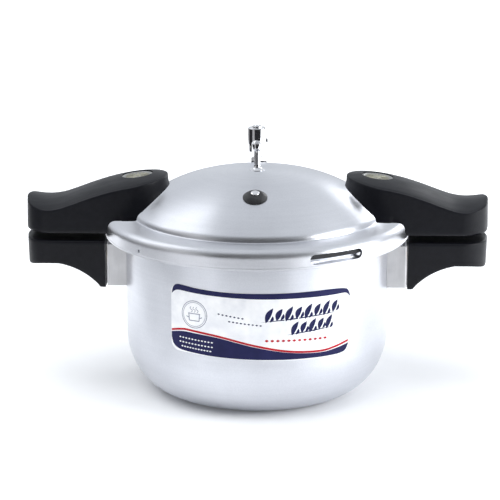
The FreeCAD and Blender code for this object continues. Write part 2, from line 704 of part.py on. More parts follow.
def indicator_pin():
    body = new_body("indicator_pin")
    sketch = plug_sketch(body)
    outline(sketch, [("0", "-10.6"), ("2.6", "-10.6"), ("2.6", "-9.5"), ("1.3", "-9.5"), ("1.3", "3.9"),
                     ("3.5", "3.9"), ("3.5", "4.3"), ("0", "5.4")], {6: (cap_radius("3.5", "1.1"), 1)})
    turned(body, sketch)
    return body


def fuse_body():
    body = new_body("fuse_body")
    sketch = fuse_sketch(body)
    outline(sketch, [("fuse_bore", "-8"), ("fuse_radius - 0.6", "-8"), ("fuse_radius", "-7.4"),
                     ("fuse_radius", "1.2"), ("7.4", "1.2"), ("7.4", "3.6"), ("5.4", "5"),
                     ("fuse_bore", "5")])
    turned(body, sketch)
    sides = fuse_plan(body)
    hexagon(sides, "fuse_flats")
    circle(sides, "12")
    cut_out(body, sides, "20", both=True)
    return body


def fuse_washer():
    body = new_body("fuse_washer")
    sketch = fuse_sketch(body)
    outline(sketch, rectangle("fuse_radius + slack", "6.6", "0.15", "1.15"))
    turned(body, sketch)
    return body


def fuse_nut():
    body = new_body("fuse_nut")
    sketch = fuse_plan(body)
    hexagon(sketch, "fuse_flats - 0.9")
    circle(sketch, "fuse_radius + slack")
    raised(body, sketch, "7", reverse=True)
    relief = fuse_plan(body)
    circle(relief, "12")
    cut_out(body, relief, "3.15")
    return body


def fuse_core():
    """Plug of low-melting alloy that fills the fitting's bore."""
    body = new_body("fuse_core")
    sketch = fuse_sketch(body)
    outline(sketch, rectangle("0", "fuse_bore - slack", "-7.5", "4.6"))
    turned(body, sketch)
    return body


def vent_washer():
    body = new_body("vent_washer")
    sketch = new_sketch(body)
    inner = "dome_foot + dome_rise - dome_gauge - 0.1"
    outline(sketch, rectangle("4.05", "8.5", f"{inner} - 1.4", inner))
    turned(body, sketch)
    return body


def vent_nut():
    body = new_body("vent_nut")
    sketch = new_sketch(body, "XY_Plane", ("0", "0", "dome_foot + dome_rise - 9.5"))
    hexagon(sketch, "13")
    circle(sketch, "4.05")
    raised(body, sketch, "4.95")
    return body


# ---------------------------------------------------------------- label
def front_label():
    """Thin foil on the pot's front, a little higher at its left end."""
    body = new_body("front_label")
    left, right = "pot_radius * sin(label_left * 1 deg)", "pot_radius * sin(label_right * 1 deg)"
    tilt = "(label_right - label_left) * pi / 180 * pot_radius * tan(label_slope * 1 deg) / 2"
    sketch = new_sketch(body)
    outline(sketch, [(f"{left} + 5", f"label_low + {tilt}"), (f"{right} - 5", f"label_low - {tilt}"),
                     (right, f"label_low + 6 - {tilt}"), (right, f"label_high - 6 - {tilt}"),
                     (f"{right} - 5", f"label_high - {tilt}"), (f"{left} + 5", f"label_high + {tilt}"),
                     (left, f"label_high - 6 + {tilt}"), (left, f"label_low + 6 + {tilt}")],
            {1: ("7", 1), 3: ("7", 1), 5: ("7", 1), 7: ("7", 1)})
    raised(body, sketch, "130")
    core = new_sketch(body)
    outline(core, rectangle("0", "pot_radius + 0.02", "0", "rim_top"))
    turned(body, core, cut=True)
    shell = new_sketch(body)
    outline(shell, rectangle("pot_radius + label_gauge", "200", "0", "rim_top"))
    turned(body, shell, cut=True)
    return body


# ---------------------------------------------------------------- build, check and write
def check_and_write(bodies):
    DOC.recompute()
    for item in DOC.Objects:
        if "Invalid" in item.State or "Error" in item.State:
            raise SystemExit(f"{item.Label} is in state {item.State}")
    os.makedirs("parts", exist_ok=True)
    for body in bodies:
        shape = body.Shape
        if shape.isNull() or not shape.isValid() or shape.Volume < 1:
            raise SystemExit(f"{body.Label} has no sound shape")
        print(f"{body.Label:20s} solids {len(shape.Solids)}  volume {shape.Volume:10.1f} mm3")
    for body in bodies:
        body.Shape.exportStep(f"parts/{body.Label}.step")


BODIES = [pot_body(), bracket_rivets(), pot_handle_screws(), pot_handle_inserts(), front_label(), gasket(),
          lid_shell(), lid_handle_studs(), lid_handle_screws(), vent_stem(), vent_washer(), vent_nut(),
          safety_plug(), indicator_pin(), fuse_body(), fuse_washer(), fuse_nut(), fuse_core(),
          weight_body(), weight_cap(), weight_pin(), weight_needle()]
for SIDE, TURN in (("right", 0), ("left", 180)):
    BODIES += [bracket(f"bracket_{SIDE}", TURN), pot_handle(f"pot_handle_{SIDE}", TURN),
               lid_handle(f"lid_handle_{SIDE}", TURN), badge(f"badge_{SIDE}", TURN)]
check_and_write(BODIES)
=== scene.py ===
import math
import bmesh
import bpy
from mathutils import Matrix, Vector


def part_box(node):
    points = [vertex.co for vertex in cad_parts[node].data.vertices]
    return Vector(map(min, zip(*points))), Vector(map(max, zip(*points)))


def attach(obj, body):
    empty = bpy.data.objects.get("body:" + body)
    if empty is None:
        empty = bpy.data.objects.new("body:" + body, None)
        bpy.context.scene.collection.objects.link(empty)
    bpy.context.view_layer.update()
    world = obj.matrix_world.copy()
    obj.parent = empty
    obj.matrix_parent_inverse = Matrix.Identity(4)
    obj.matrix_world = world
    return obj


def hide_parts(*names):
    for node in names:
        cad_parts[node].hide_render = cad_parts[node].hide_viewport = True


# Looks of a household pressure cooker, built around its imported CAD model.
# Sizes below are millimetres; finished() turns every mesh into metres in the same frame.
# Outlines of turned pieces are (distance from the axis, height[, corner radius]).

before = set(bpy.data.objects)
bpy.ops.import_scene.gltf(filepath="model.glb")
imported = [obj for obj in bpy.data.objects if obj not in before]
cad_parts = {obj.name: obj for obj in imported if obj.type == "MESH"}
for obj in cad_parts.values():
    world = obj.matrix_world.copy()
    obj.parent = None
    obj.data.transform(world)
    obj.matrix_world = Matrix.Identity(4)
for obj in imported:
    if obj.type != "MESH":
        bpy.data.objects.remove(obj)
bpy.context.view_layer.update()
MM = 0.001


def span(node):
    """Lowest and highest corner of a CAD node, in millimetres."""
    low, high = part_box(node)
    return low / MM, high / MM


# ---------------------------------------------------------------- sizes, many of them from the frame
POT_HIGH = span("pot_body")[1]
LID_LOW, LID_HIGH = span("lid_shell")
GRIP_LOW, GRIP_HIGH = span("lid_handle_right")
BASE_LOW, BASE_HIGH = span("pot_handle_right")
GASKET_LOW, GASKET_HIGH = span("gasket")
WEIGHT_LOW = span("weight_body")[0]

POT_RADIUS = 110
POT_WALL = 3
POT_TOP = POT_HIGH.z
POT_FLOOR = 4
LUG_RADIUS = POT_HIGH.x
LUG_COUNT = 6
LUG_ANGLE = 26
LID_RADIUS = LID_HIGH.x
LID_GAUGE = 2.8
LID_LUG_RADIUS = 115.2
RING_TOP = 148.6
DOME_RADIUS = 103.2
DOME_FOOT = 152
DOME_TOP = LID_HIGH.z
DOME_POWER = 2.85
DOME_TURN = 98.6       # where the dome meets the rounded step of the ring
SIDE_INSET = 0.25      # the skirt stands back this far from its bead
PLUG_PLACE, PLUG_LEAN = -63.5, 20.1      # along y, and degrees back from upright
FUSE_PLACE, FUSE_LEAN = 55, -15.7
WINDOW_TURN, WINDOW_HALF, WINDOW_LOW, WINDOW_TOP = 31.6, 24, 135.2, 143.5
PINHOLE_TURN, PINHOLE_HEIGHT, PINHOLE_RADIUS = -46.7, 137.2, 1.2
GRIP_HALF = 32
GRIP_NOSE = 106.6
GRIP_TIP = GRIP_HIGH.x - 1.75            # the tip bows out by the rest
GRIP_CORNER = 22
GAP_HEIGHT = 134.2
DRAFT = math.tan(math.radians(1.2))
CREST = [(62, 179.5), (74, 181.4), (88, 182.6), (104, 181.2), (121, 177.6), (137, 172.6),
         (153, 166.7), (164, 163.2), (174, 161.9), (184, 162.4), (198, 164.6)]
CROWN = 5.5
ARCH_START, ARCH_END, ARCH_RADIUS = Vector((164, 111.3)), Vector((130, 92.4)), 58
DROOP_START, DROOP_RADIUS = 170, 54.3
STUD_PLACE = 100
BADGE_HEIGHT = 180
BADGE_TILT = 6
WEIGHT_TOP = 221
WEIGHT_TURN = -3
FOIL_RADIUS = POT_RADIUS + 0.25
DEGREE = math.radians(1) * FOIL_RADIUS   # one degree round the foil, in millimetres


# ---------------------------------------------------------------- outlines
def rounded(points, closed=True, step=9, parts=0):
    """Outline whose corners are rounded where a point has a third number, its radius.
    An arc has one part for each step of its turn in degrees, or a fixed number of parts."""
    result = []
    for index, point in enumerate(points):
        here = Vector(point[:2])
        end = not closed and index in (0, len(points) - 1)
        if len(point) < 3 or not point[2] or end:
            result.append(tuple(here))
            continue
        radius = point[2]
        back = (Vector(points[index - 1][:2]) - here).normalized()
        onward = (Vector(points[(index + 1) % len(points)][:2]) - here).normalized()
        half = back.angle(onward) / 2
        centre = here + (back + onward).normalized() * radius / math.sin(half)
        start = here + back * radius / math.tan(half) - centre
        turn = math.pi - 2 * half
        sign = 1 if back.cross(onward) < 0 else -1
        count = parts or max(2, math.ceil(math.degrees(turn) / step))
        for number in range(count + 1):
            angle = sign * turn * number / count
            spoke = Vector((start.x * math.cos(angle) - start.y * math.sin(angle),
                            start.x * math.sin(angle) + start.y * math.cos(angle)))
            result.append(tuple(centre + spoke))
    return result


def spline(points, count):
    """Points along a smooth curve (Catmull-Rom) through the given ones."""
    line = [Vector(point) for point in points]
    line = [2 * line[0] - line[1]] + line + [2 * line[-1] - line[-2]]
    result = []
    for number in range(count + 1):
        place = number / count * (len(points) - 1)
        first = min(int(place), len(points) - 2)
        share = place - first
        a, b, c, d = line[first:first + 4]
        result.append(0.5 * (2 * b + (c - a) * share + (2 * a - 5 * b + 4 * c - d) * share ** 2
                             + (3 * b - a - 3 * c + d) * share ** 3))
    return result


CREST_LINE = spline(CREST, 200)


def reading(line, place):
    """Height of a polyline, whose points run along x, at a place."""
    if place <= line[0].x:
        return line[0].y
    for first, last in zip(line, line[1:]):
        if place <= last.x:
            return first.y + (last.y - first.y) * (place - first.x) / (last.x - first.x)
    return line[-1].y


def dome_height(radius, gap=0):
    share = (min(radius, DOME_RADIUS) / DOME_RADIUS) ** DOME_POWER
    return DOME_FOOT + gap + (DOME_TOP - DOME_FOOT) * (1 - share)


def dome_side(low, high, gap=0):
    """Outline of the dome from one radius to another."""
    steps = 40
    radii = [low + (high - low) * math.sin(math.pi / 2 * number / steps) for number in range(steps + 1)]
    return [(radius, dome_height(radius, gap)) for radius in radii]


def ring_side(gap=0):
    """Outline of the lid's outer ring, from the skirt up to the start of the dome."""
    foot = DOME_RADIUS + 0.35 + gap
    side = LID_RADIUS - SIDE_INSET + gap
    return rounded([(side, 140.5), (side + 0.05, RING_TOP - 0.5 + gap, 6.2), (foot, RING_TOP + gap, 1.2),
                    (foot - 0.25, DOME_FOOT + 0.6 + gap, 6.4), (DOME_TURN, dome_height(DOME_TURN, gap))],
                   closed=False, parts=9)


def lid_outside(gap=0):
    """Outline of the lid's outside from under the skirt up to the apex."""
    return [(LID_RADIUS + gap, LID_LOW.z - 5)] + ring_side(gap) + dome_side(DOME_TURN, 0, gap)[1:]


# ---------------------------------------------------------------- meshes
def new_mesh(name, points, faces):
    mesh = bpy.data.meshes.new(name)
    mesh.from_pydata([tuple(point) for point in points], [], faces)
    work = bmesh.new()
    work.from_mesh(mesh)
    bmesh.ops.remove_doubles(work, verts=work.verts, dist=0.001)
    bmesh.ops.dissolve_degenerate(work, edges=work.edges, dist=0.0005)
    bmesh.ops.recalc_face_normals(work, faces=work.faces)
    work.to_mesh(mesh)
    work.free()
    piece = bpy.data.objects.new(name, mesh)
    bpy.context.scene.collection.objects.link(piece)
    return piece


def lathe(name, outline, segments=256, angles=None):
    """Turned piece. The outline is a list of (radius, height) or a function of the angle in degrees.
    It is a closed loop, or runs from axis to axis."""
    angles = angles or [360 * number / segments for number in range(segments)]
    shape = outline if callable(outline) else lambda angle: outline
    first = shape(angles[0])
    count = len(first)
    open_ends = abs(first[0][0]) < 1e-6 and abs(first[-1][0]) < 1e-6
    points, faces = [], []
    for angle in angles:
        turn = math.radians(angle)
        points += [(r * math.cos(turn), r * math.sin(turn), z) for r, z in shape(angle)]
    for column in range(len(angles)):
        here, there = column * count, (column + 1) % len(angles) * count
        for row in range(count - 1 if open_ends else count):
            after = (row + 1) % count
            faces.append((here + row, there + row, there + after, here + after))
    return new_mesh(name, points, faces)


def prism(name, outline, low, high):
    """Straight piece with an outline in x and y."""
    count = len(outline)
    points = [(x, y, low) for x, y in outline] + [(x, y, high) for x, y in outline]
    faces = [tuple(range(count))[::-1], tuple(range(count, 2 * count))]
    faces += [(i, (i + 1) % count, (i + 1) % count + count, i + count) for i in range(count)]
    return new_mesh(name, points, faces)


def turned(piece, degrees):
    """Piece turned round the upright axis."""
    piece.data.transform(Matrix.Rotation(math.radians(degrees), 4, "Z"))
    return piece


def facing_front(piece):
    """Piece drawn in x and z: its prism's height runs towards the front."""
    piece.data.transform(Matrix.Rotation(math.radians(90), 4, "X"))
    return piece


def cut(piece, *others):
    """Cuts the others out of a piece and deletes them."""
    for other in others:
        change = piece.modifiers.new("cut", "BOOLEAN")
        change.object = other
        change.operation = "DIFFERENCE"
        change.solver = "EXACT"
    depsgraph = bpy.context.evaluated_depsgraph_get()
    mesh = bpy.data.meshes.new_from_object(piece.evaluated_get(depsgraph))
    piece.modifiers.clear()
    piece.data = mesh
    for other in others:
        bpy.data.objects.remove(other)


def joined(name, pieces):
    """One piece from several separate solids."""
    work = bmesh.new()
    for piece in pieces:
        work.from_mesh(piece.data)
        bpy.data.objects.remove(piece)
    mesh = bpy.data.meshes.new(name)
    work.to_mesh(mesh)
    work.free()
    made = bpy.data.objects.new(name, mesh)
    bpy.context.scene.collection.objects.link(made)
    return made


def finished(piece, body, slot, material, *nodes, crease=32):
    """Turns a piece into metres, shades it, and gives it its body, its finish and the nodes it replaces."""
    mesh = piece.data
    mesh.transform(Matrix.Scale(MM, 4))
    mesh.materials.clear()
    mesh.materials.append(material)
    mesh.polygons.foreach_set("use_smooth", [True] * len(mesh.polygons))
    mesh.polygons.foreach_set("material_index", [0] * len(mesh.polygons))
    mesh.set_sharp_from_angle(angle=math.radians(crease))
    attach(piece, body)
    if nodes:
        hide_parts(*nodes)


# ---------------------------------------------------------------- materials
def shader(name, **sockets):
    """New material and its node tree; sockets are the Principled shader's own values."""
    material = bpy.data.materials.new(name)
    material.use_nodes = True
    tree = material.node_tree
    surface = tree.nodes["Principled BSDF"]
    for socket, value in sockets.items():
        surface.inputs[socket.replace("_", " ")].default_value = value
    return material, tree, surface


def node(tree, kind, inputs=None, **settings):
    made = tree.nodes.new(kind)
    for key, value in settings.items():
        setattr(made, key, value)
    for key, value in (inputs or {}).items():
        if isinstance(value, bpy.types.NodeSocket):
            tree.links.new(value, made.inputs[key])
        else:
            made.inputs[key].default_value = value
    return made


def place_of(tree):
    return node(tree, "ShaderNodeTexCoord").outputs["Object"]


def stretched(tree, scale):
    """Object coordinates scaled apart along x, y and z."""
    return node(tree, "ShaderNodeMapping", {"Vector": place_of(tree), "Scale": scale}).outputs[0]


def turned_place(tree, across, along, around):
    """Coordinates of a turned surface: distance from the axis, height, and a little of the way round."""
    parts = node(tree, "ShaderNodeSeparateXYZ", {0: place_of(tree)})
    flat = node(tree, "ShaderNodeCombineXYZ", {"X": parts.outputs["X"], "Y": parts.outputs["Y"]})
    radius = node(tree, "ShaderNodeVectorMath", {0: flat.outputs[0]}, operation="LENGTH").outputs["Value"]
    wide = node(tree, "ShaderNodeMath", {0: radius, 1: across}, operation="MULTIPLY").outputs[0]
    tall = node(tree, "ShaderNodeMath", {0: parts.outputs["Z"], 1: along}, operation="MULTIPLY").outputs[0]
    side = node(tree, "ShaderNodeMath", {0: parts.outputs["X"], 1: around}, operation="MULTIPLY").outputs[0]
    return node(tree, "ShaderNodeCombineXYZ", {"X": wide, "Y": tall, "Z": side}).outputs[0]


def noise(tree, vector, detail=3, roughness=0.55):
    return node(tree, "ShaderNodeTexNoise", {"Vector": vector, "Scale": 1.0, "Detail": detail,
                                             "Roughness": roughness}).outputs[0]


def grain(tree, scale, detail=3, roughness=0.55):
    """Noise that is as fine in every direction."""
    return noise(tree, stretched(tree, (scale, scale, scale)), detail, roughness)


def summed(tree, first, second):
    return node(tree, "ShaderNodeMath", {0: first, 1: second}, operation="ADD").outputs[0]


def graded(tree, value, low, high, start=0.3, end=0.7):
    """A number that runs from low to high as a texture runs from start to end."""
    return node(tree, "ShaderNodeMapRange", {"Value": value, "From Min": start, "From Max": end,
                                             "To Min": low, "To Max": high}).outputs[0]


def blended(tree, share, first, second):
    """Colour that runs from the first to the second as share runs from 0 to 1."""
    mix = node(tree, "ShaderNodeMix", data_type="RGBA")
    sockets = [item for item in mix.inputs if item.type == "RGBA"]
    tree.links.new(share, mix.inputs[0])
    for socket, colour in zip(sockets, (first, second)):
        socket.default_value = (*colour, 1)
    return next(item for item in mix.outputs if item.type == "RGBA")


def bumped(tree, surface, height, strength, distance, below=None):
    """Gives a shader bumps from a texture, on top of the bumps below."""
    inputs = {"Height": height, "Strength": strength, "Distance": distance}
    if below is not None:
        inputs["Normal"] = below
    made = node(tree, "ShaderNodeBump", inputs).outputs[0]
    tree.links.new(made, surface.inputs["Normal"])
    return made


def spun_aluminium(name, light, dark, rough, lines, pitting):
    """Satin aluminium with fine turned lines, a soft cloudiness and tiny pits."""
    material, tree, surface = shader(name, Metallic=1.0, Anisotropic=0.6, Anisotropic_Rotation=0.25)
    around_axis = node(tree, "ShaderNodeTangent", direction_type="RADIAL", axis="Z")
    tree.links.new(around_axis.outputs[0], surface.inputs["Tangent"])
    rings = noise(tree, turned_place(tree, 1600, 1600, 18), 4, 0.6)
    broad = noise(tree, turned_place(tree, 260, 260, 6))
    clouds = grain(tree, 22, 4)
    pits = grain(tree, 900, 2)
    shade = summed(tree, graded(tree, clouds, 0, 0.6), graded(tree, broad, 0, 0.4))
    shade = summed(tree, shade, graded(tree, pits, -0.35, 0.35))
    tree.links.new(blended(tree, shade, light, dark), surface.inputs["Base Color"])
    wear = summed(tree, graded(tree, clouds, rough - 0.04, rough + 0.05), graded(tree, rings, -0.03, 0.03))
    tree.links.new(wear, surface.inputs["Roughness"])
    under = bumped(tree, surface, rings, lines, 0.00006)
    bumped(tree, surface, pits, pitting, 0.00005, under)
    return material


def plate_aluminium(name):
    """Bracket plate: bead-blasted look with faint drawn lines."""
    material, tree, surface = shader(name, Metallic=1.0)
    drawn = noise(tree, stretched(tree, (700, 700, 60)), 4)
    blasted = grain(tree, 1100, 2)
    clouds = grain(tree, 60)
    tree.links.new(blended(tree, graded(tree, clouds, 0, 1), (0.70, 0.695, 0.705), (0.61, 0.605, 0.615)),
                   surface.inputs["Base Color"])
    tree.links.new(graded(tree, drawn, 0.42, 0.58), surface.inputs["Roughness"])
    under = bumped(tree, surface, drawn, 0.15, 0.00008)
    bumped(tree, surface, blasted, 0.3, 0.00006, under)
    return material


def moulded(name, colour, worn, rough, skin_depth):
    """Phenolic moulding: deep black with a fine eggshell skin and slightly polished wear."""
    material, tree, surface = shader(name, Specular_IOR_Level=0.22, IOR=1.5)
    skin = grain(tree, 1300, 3, 0.6)
    flow = noise(tree, stretched(tree, (30, 90, 120)), 4)
    dust = grain(tree, 260, 5, 0.7)
    tree.links.new(blended(tree, graded(tree, dust, 0, 1, 0.35, 0.75), colour, worn),
                   surface.inputs["Base Color"])
    tree.links.new(graded(tree, flow, rough - 0.05, rough + 0.07), surface.inputs["Roughness"])
    under = bumped(tree, surface, flow, 0.08, 0.0004)
    bumped(tree, surface, skin, skin_depth, 0.00012, under)
    return material


def polished(name, colour, rough, smear=0.05):
    """Plated or turned small part: bright, with faint rings and wiped marks."""
    material, tree, surface = shader(name, Metallic=1.0)
    marks = noise(tree, stretched(tree, (240, 240, 80)), 5, 0.6)
    rings = noise(tree, stretched(tree, (60, 60, 2600)), 2)
    duller = tuple(channel * 0.86 for channel in colour)
    tree.links.new(blended(tree, graded(tree, marks, 0, 1), colour, duller), surface.inputs["Base Color"])
    tree.links.new(graded(tree, marks, rough, rough + smear), surface.inputs["Roughness"])
    bumped(tree, surface, rings, 0.05, 0.00004)
    return material


def rubber(name, colour, rough):
    """Dull rubber with a rough skin and a pale bloom."""
    material, tree, surface = shader(name, Specular_IOR_Level=0.4)
    skin = grain(tree, 900, 4, 0.65)
    bloom = grain(tree, 140, 4)
    paler = tuple(channel * 1.9 + 0.01 for channel in colour)
    tree.links.new(blended(tree, graded(tree, bloom, 0, 1, 0.4, 0.8), colour, paler),
                   surface.inputs["Base Color"])
    tree.links.new(graded(tree, bloom, rough - 0.08, rough + 0.08), surface.inputs["Roughness"])
    bumped(tree, surface, skin, 0.35, 0.0002)
    return material


def printed(name, colour, rough, metallic=0.0):
    """Ink or foil of the label: even, with a faint screen grain."""
    material, tree, surface = shader(name, Metallic=metallic, Specular_IOR_Level=0.2)
    screen = grain(tree, 1800, 2)
    patch = grain(tree, 70)
    tint = tuple(min(1, channel * 1.25 + 0.004) for channel in colour)
    tree.links.new(blended(tree, graded(tree, patch, 0, 1), colour, tint), surface.inputs["Base Color"])
    tree.links.new(graded(tree, patch, rough - 0.05, rough + 0.05), surface.inputs["Roughness"])
    bumped(tree, surface, screen, 0.12, 0.00004)
    return material


POT_METAL = spun_aluminium("pot_metal", (0.72, 0.735, 0.78), (0.66, 0.675, 0.72),
                           rough=0.34, lines=0.16, pitting=0.1)
LID_METAL = spun_aluminium("lid_metal", (0.76, 0.77, 0.81), (0.70, 0.71, 0.75),
                           rough=0.34, lines=0.3, pitting=0.75)
BRACKET_METAL = plate_aluminium("bracket_metal")
RIVET_METAL = polished("rivet_metal", (0.78, 0.78, 0.79), 0.3)
PHENOLIC = moulded("phenolic", (0.0032, 0.0035, 0.0058), (0.0062, 0.0066, 0.0098),
                    rough=0.42, skin_depth=0.35)
STEEL = polished("screw_steel", (0.62, 0.62, 0.63), 0.24)
BRASS = polished("brass", (0.83, 0.62, 0.27), 0.25)
CHROME = polished("chrome", (0.88, 0.88, 0.9), 0.05, 0.05)
ALLOY = polished("fusible_alloy", (0.52, 0.52, 0.54), 0.42)
FOIL = printed("label_foil", (0.80, 0.81, 0.84), 0.38, 0.55)
NAVY = printed("navy_ink", (0.008, 0.009, 0.062), 0.45)
RED = printed("red_ink", (0.42, 0.006, 0.015), 0.42)
WHITE = printed("white_ink", (0.80, 0.81, 0.84), 0.45)
GREY = printed("grey_ink", (0.22, 0.23, 0.30), 0.42)
GASKET_RUBBER = rubber("gasket_rubber", (0.018, 0.018, 0.021), 0.6)
PLUG_RUBBER = rubber("plug_rubber", (0.014, 0.014, 0.015), 0.42)
SEAL_RUBBER = rubber("seal_rubber", (0.06, 0.06, 0.065), 0.6)
BADGE_METAL = polished("badge_metal", (0.40, 0.40, 0.385), 0.34, 0.1)
GILT = polished("badge_gilt", (0.52, 0.50, 0.37), 0.34, 0.1)


def dress(name, material):
    """Gives a carried-over CAD node its finish."""
    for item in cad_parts[name].material_slots:
        item.material = material


# ---------------------------------------------------------------- pot
def lug_angles():
    """Angles round the axis, in degrees, with a pair of near ones at each side of every lug."""
    count, clear, near = 300, 0.3, 0.06
    angles = {360 * number / count for number in range(count)}
    for number in range(LUG_COUNT):
        for side in (-1, 1):
            edge = (number * 360 / LUG_COUNT + side * LUG_ANGLE / 2) % 360
            angles -= {angle for angle in angles if abs(angle - edge) < clear}
            angles |= {(edge - near) % 360, (edge + near) % 360}
    return sorted(angles)


def on_lug(angle):
    pitch = 360 / LUG_COUNT
    return abs((angle + pitch / 2) % pitch - pitch / 2) < LUG_ANGLE / 2


def corner_curve(inset, floor):
    """Quarter ellipse from the flat base up to the wall."""
    wide, tall, steps = 39.8, 49.4, 24
    result = []
    for number in range(steps + 1):
        angle = math.pi / 2 * number / steps
        result.append((POT_RADIUS - wide + (wide - inset) * math.sin(angle),
                       tall - (tall - floor) * math.cos(angle)))
    return result


def pot():
    under, edge, rim = 136.3, 140, 113
    bore = POT_RADIUS - POT_WALL

    def shape(angle):
        reach = LUG_RADIUS if on_lug(angle) else rim
        outside = [(0, 0)] + corner_curve(0, 0)
        flange = rounded([(POT_RADIUS, 128), (POT_RADIUS, under, 0.8), (reach, under, 0.5),
                          (reach, edge, 0.5), (rim - 0.8, edge), (rim - 1.1, POT_TOP, 0.3),
                          (bore, POT_TOP, 0.5), (bore, 120)], closed=False, parts=3)
        inside = corner_curve(POT_WALL, POT_FLOOR)[::-1] + [(0, POT_FLOOR)]
        walls = [(POT_RADIUS, z) for z in (64, 80, 96, 112)]
        bores = [(bore, z) for z in (104, 88, 70)]
        return outside + walls + flange + bores + inside
    made = lathe("pot_spun_body", shape, angles=lug_angles())
    finished(made, "pot", "pot_aluminium", POT_METAL, "pot_body")


# ---------------------------------------------------------------- lid
def slot_outline(half, low, top):
    """Round-ended slot in x and z."""
    end = (top - low) / 2 - 0.01
    return rounded([(-half, low, end), (half, low, end), (half, top, end), (-half, top, end)])


def skirt_cutter(outline, azimuth):
    """Prism that runs out through the skirt, at an angle from the front."""
    inside, outside = 118, 132
    return turned(facing_front(prism("cutter", outline, inside, outside)), azimuth)


def fitted(piece, place, lean):
    """Piece set on the dome, its axis square to the metal."""
    piece.data.transform(Matrix.Translation((0, place, dome_height(abs(place))))
                         @ Matrix.Rotation(math.radians(lean), 4, "X"))
    return piece


def fitting_hole(radius, place, lean):
    outline = [(0, -12), (radius, -12), (radius, 8), (0, 8)]
    return fitted(lathe("cutter", outline, 64), place, lean)


def lid_outline():
    """The lid's section as a function of the angle, because the lugs come and go."""
    side = LID_RADIUS - SIDE_INSET
    under = RING_TOP - LID_GAUGE
    bore = LID_RADIUS - LID_GAUGE
    low, lug_top = LID_LOW.z, 135.9
    bend, thick = 99.5, 3

    def shape(angle):
        lug = LID_LUG_RADIUS if on_lug(angle) else bore - 0.3
        outside = [(LID_RADIUS - 0.55, low), (LID_RADIUS, low + 0.45), (LID_RADIUS, low + 1.7)]
        outside += [(side, low + 2.0), (side, 138)]
        dome = dome_side(DOME_TURN, 0)[1:]
        inside = [(radius, height - thick) for radius, height in dome_side(bend, 0)][::-1]
        step = rounded([(bend, dome_height(bend) - thick), (102.4, under + 1.6, 0.8), (104.8, under, 0.8),
                        (bore, under, 1.2), (bore, lug_top + 0.3), (lug, lug_top, 0.4), (lug, low, 0.4),
                        (LID_RADIUS - 1, low)], closed=False, parts=3)
        return outside + ring_side() + dome + inside + step[1:]
    return shape


def lid_piece():
    """Lid turned in one piece, then opened for the fittings, the skirt's window and its pinhole."""
    made = lathe("lid_spun_shell", lid_outline(), angles=lug_angles())
    window = skirt_cutter(slot_outline(WINDOW_HALF, WINDOW_LOW, WINDOW_TOP), WINDOW_TURN)
    dot = [(PINHOLE_RADIUS * math.cos(math.radians(turn)),
            PINHOLE_HEIGHT + PINHOLE_RADIUS * math.sin(math.radians(turn))) for turn in range(0, 360, 20)]
    pinhole = skirt_cutter(dot, PINHOLE_TURN)
    vent = lathe("cutter", [(0, 165), (4.2, 165), (4.2, 195), (0, 195)], 64)
    cut(made, window, pinhole, vent, fitting_hole(6.1, PLUG_PLACE, PLUG_LEAN),
        fitting_hole(4.2, FUSE_PLACE, FUSE_LEAN))
    finished(made, "lid", "lid_aluminium", LID_METAL, "lid_shell")


def gasket():
    """Sealing ring with two lips towards the pot and an apron down behind the skirt."""
    low, top, bore, reach = 141.1, GASKET_HIGH.z, 107.2, GASKET_HIGH.x
    apron, spine, face = GASKET_LOW.z, reach - 3, reach - 2.6
    outline = rounded([(bore, low, 0.6), (spine, low), (face, low - 0.5), (face, apron, 0.5),
                       (reach, apron, 0.5), (reach, top, 0.6), (bore, top, 0.6), (bore, top - 1.2, 0.3),
                       (spine, top - 1.5, 1.0), (spine, low + 1.5, 1.0), (bore, low + 1.2, 0.3)], step=30)
    made = lathe("gasket_ring_seal", outline, 220)
    finished(made, "gasket_ring", "gasket_rubber", GASKET_RUBBER, "gasket")


# ---------------------------------------------------------------- handles
def plan(nose=None, inner=None):
    """Outline of a handle with outward directions, (x, y, nx, ny), counter-clockwise from its inner end.
    The inner end is a half circle round the nose, or straight at inner; the tip is a flat bow."""
    half, corner, shoulder, spacing, bow = GRIP_HALF, GRIP_CORNER, GRIP_TIP - 0.4, 1.6, 45
    result = []

    def arc(x, y, radius, start, end):
        steps = max(2, math.ceil(abs(math.radians(end - start)) * radius / spacing))
        for number in range(steps):
            angle = math.radians(start + (end - start) * number / steps)
            nx, ny = math.cos(angle), math.sin(angle)
            result.append((x + radius * nx, y + radius * ny, nx, ny))

    def run(x_start, x_end, y, ny):
        steps = math.ceil(abs(x_end - x_start) / spacing)
        for number in range(steps):
            result.append((x_start + (x_end - x_start) * number / steps, y, 0, ny))
    flat = half - corner
    back = math.sqrt(bow ** 2 - flat ** 2)
    lean = math.degrees(math.asin(flat / bow))
    start = nose or inner
    run(start, shoulder - corner, -half, -1)
    arc(shoulder - corner, -flat, corner, -90, 0)
    arc(shoulder - back, 0, bow, -lean, lean)
    arc(shoulder - corner, flat, corner, 0, 90)
    run(shoulder - corner, start, half, 1)
    if nose:
        arc(nose, 0, half, 90, 270)
    else:
        steps = math.ceil(2 * half / spacing)
        result.append((inner, half, -0.7, 0.7))
        result += [(inner, half - 2 * half * number / steps, -1, 0) for number in range(1, steps)]
        result.append((inner, -half, -0.7, -0.7))
    return result


